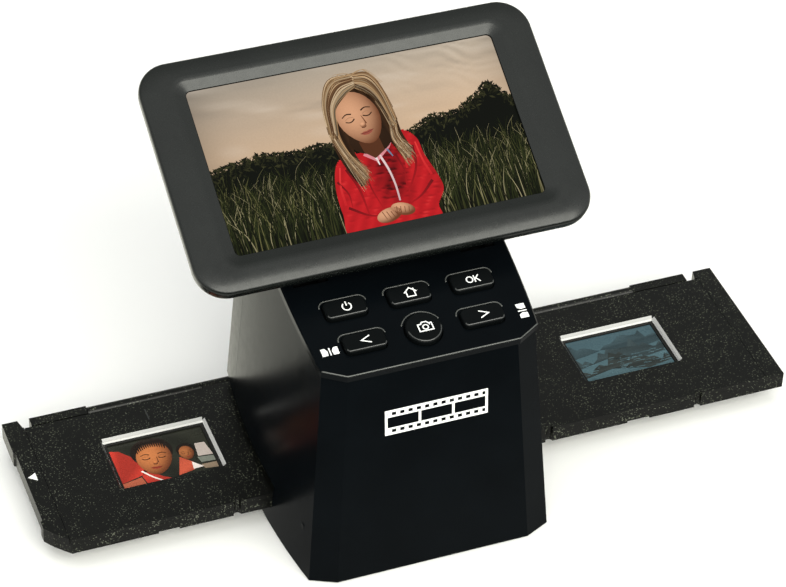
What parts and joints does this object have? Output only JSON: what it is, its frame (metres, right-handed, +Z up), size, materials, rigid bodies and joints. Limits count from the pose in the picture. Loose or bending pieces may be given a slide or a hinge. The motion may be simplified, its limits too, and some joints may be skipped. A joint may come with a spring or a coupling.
{
  "type": "film and slide viewer",
  "caption": "Desktop film and slide viewer: a sloping tower with a tilting screen, press keys and a slide carrier that passes through its base.",
  "frame": {"origin": "on the floor, under the middle of the tower, in the plane of the rubber feet's soles", "axes": "+X to the right of a person facing the screen and along the carrier, +Y to the back, +Z up"},
  "size_m": [0.2776, 0.1167, 0.146],
  "materials": {
    "case_plastic": "satin moulded ABS, blue-black",
    "screen_plastic": "fine-grained moulded ABS, near black",
    "key_plastic": "satin black key caps with printed white icons",
    "inner_plastic": "plain black moulding",
    "carrier_plastic": "coarse spark-eroded black moulding",
    "foot_rubber": "matt",
    "steel": "plain",
    "socket_metal": "plated sheet",
    "circuit_board": "green solder mask",
    "chip_black": "moulded",
    "led_white": "white LED strip",
    "clear_plastic": "clear acrylic",
    "milky_plastic": "opal sheet",
    "lens_glass": "coated lens glass",
    "lcd_glass": "lit picture panel behind glass",
    "slide_frame": "black slide mount",
    "film": "developed colour film"
  },
  "bodies": {
    "tower": {"front_cover": "case_plastic", "rear_cover": "case_plastic", "base_plate": "inner_plastic", "rubber_feet": "foot_rubber", "base_screws": "steel", "control_deck": "case_plastic", "button_board": "circuit_board", "dome_switches": "chip_black", "lower_guide": "inner_plastic", "click_sleeve": "steel", "click_ball": "steel", "upper_guide": "inner_plastic", "light_guide_panel": "clear_plastic", "light_diffuser": "milky_plastic", "led_strip": "led_white", "camera_hood": "inner_plastic", "lens_barrel": "inner_plastic", "front_lens": "lens_glass", "rear_lens": "lens_glass", "sensor_board": "circuit_board", "image_sensor": "chip_black", "main_board": "circuit_board", "board_chips": "chip_black", "usb_c_socket": "socket_metal", "hdmi_socket": "socket_metal", "sd_card_socket": "socket_metal", "hinge_fork_left": "steel", "hinge_fork_right": "steel", "hinge_pins": "steel"},
    "carrier": {"carrier_base": "carrier_plastic", "carrier_lid": "carrier_plastic", "lid_hinge_pin": "steel", "slide_mount_1": "slide_frame", "slide_mount_2": "slide_frame", "slide_mount_3": "slide_frame", "slide_mount_4": "slide_frame", "slide_film_1": "film", "slide_film_2": "film", "slide_film_3": "film", "slide_film_4": "film"},
    "screen": {"screen_bezel": "screen_plastic", "screen_rear_cover": "screen_plastic", "hinge_leaf_left": "steel", "hinge_leaf_right": "steel", "lcd_panel": "lcd_glass", "lcd_back_plate": "steel", "screen_board": "circuit_board"},
    "power_button": {"power_button": "key_plastic"},
    "home_button": {"home_button": "key_plastic"},
    "ok_button": {"ok_button": "key_plastic"},
    "left_button": {"left_button": "key_plastic"},
    "right_button": {"right_button": "key_plastic"},
    "camera_button": {"camera_button": "key_plastic"}
  },
  "joints": [
    {"name": "carrier_slide", "type": "slide", "parent": "tower", "child": "carrier", "axis": [1, 0, 0], "range_m": [-0.09951, 0.0768]},
    {"name": "screen_tilt", "type": "hinge", "parent": "tower", "child": "screen", "pos_m": [0, -0.00223, 0.09878], "axis": [1, 0, 0], "range_deg": [-14.5, 30]},
    {"name": "power_press", "type": "slide", "parent": "tower", "child": "power_button", "axis": [0, -0.2181, 0.9759], "range_m": [-0.0008, 0], "stiffness_N_per_m": 600, "springref_m": 0.0004},
    {"name": "home_press", "type": "slide", "parent": "tower", "child": "home_button", "axis": [0, -0.2181, 0.9759], "range_m": [-0.0008, 0], "stiffness_N_per_m": 600, "springref_m": 0.0004},
    {"name": "ok_press", "type": "slide", "parent": "tower", "child": "ok_button", "axis": [0, -0.2181, 0.9759], "range_m": [-0.0008, 0], "stiffness_N_per_m": 600, "springref_m": 0.0004},
    {"name": "left_press", "type": "slide", "parent": "tower", "child": "left_button", "axis": [0, -0.2181, 0.9759], "range_m": [-0.0008, 0], "stiffness_N_per_m": 600, "springref_m": 0.0004},
    {"name": "right_press", "type": "slide", "parent": "tower", "child": "right_button", "axis": [0, -0.2181, 0.9759], "range_m": [-0.0008, 0], "stiffness_N_per_m": 600, "springref_m": 0.0004},
    {"name": "camera_press", "type": "slide", "parent": "tower", "child": "camera_button", "axis": [0, -0.2181, 0.9759], "range_m": [-0.0008, 0], "stiffness_N_per_m": 600, "springref_m": 0.0004}
  ]
}
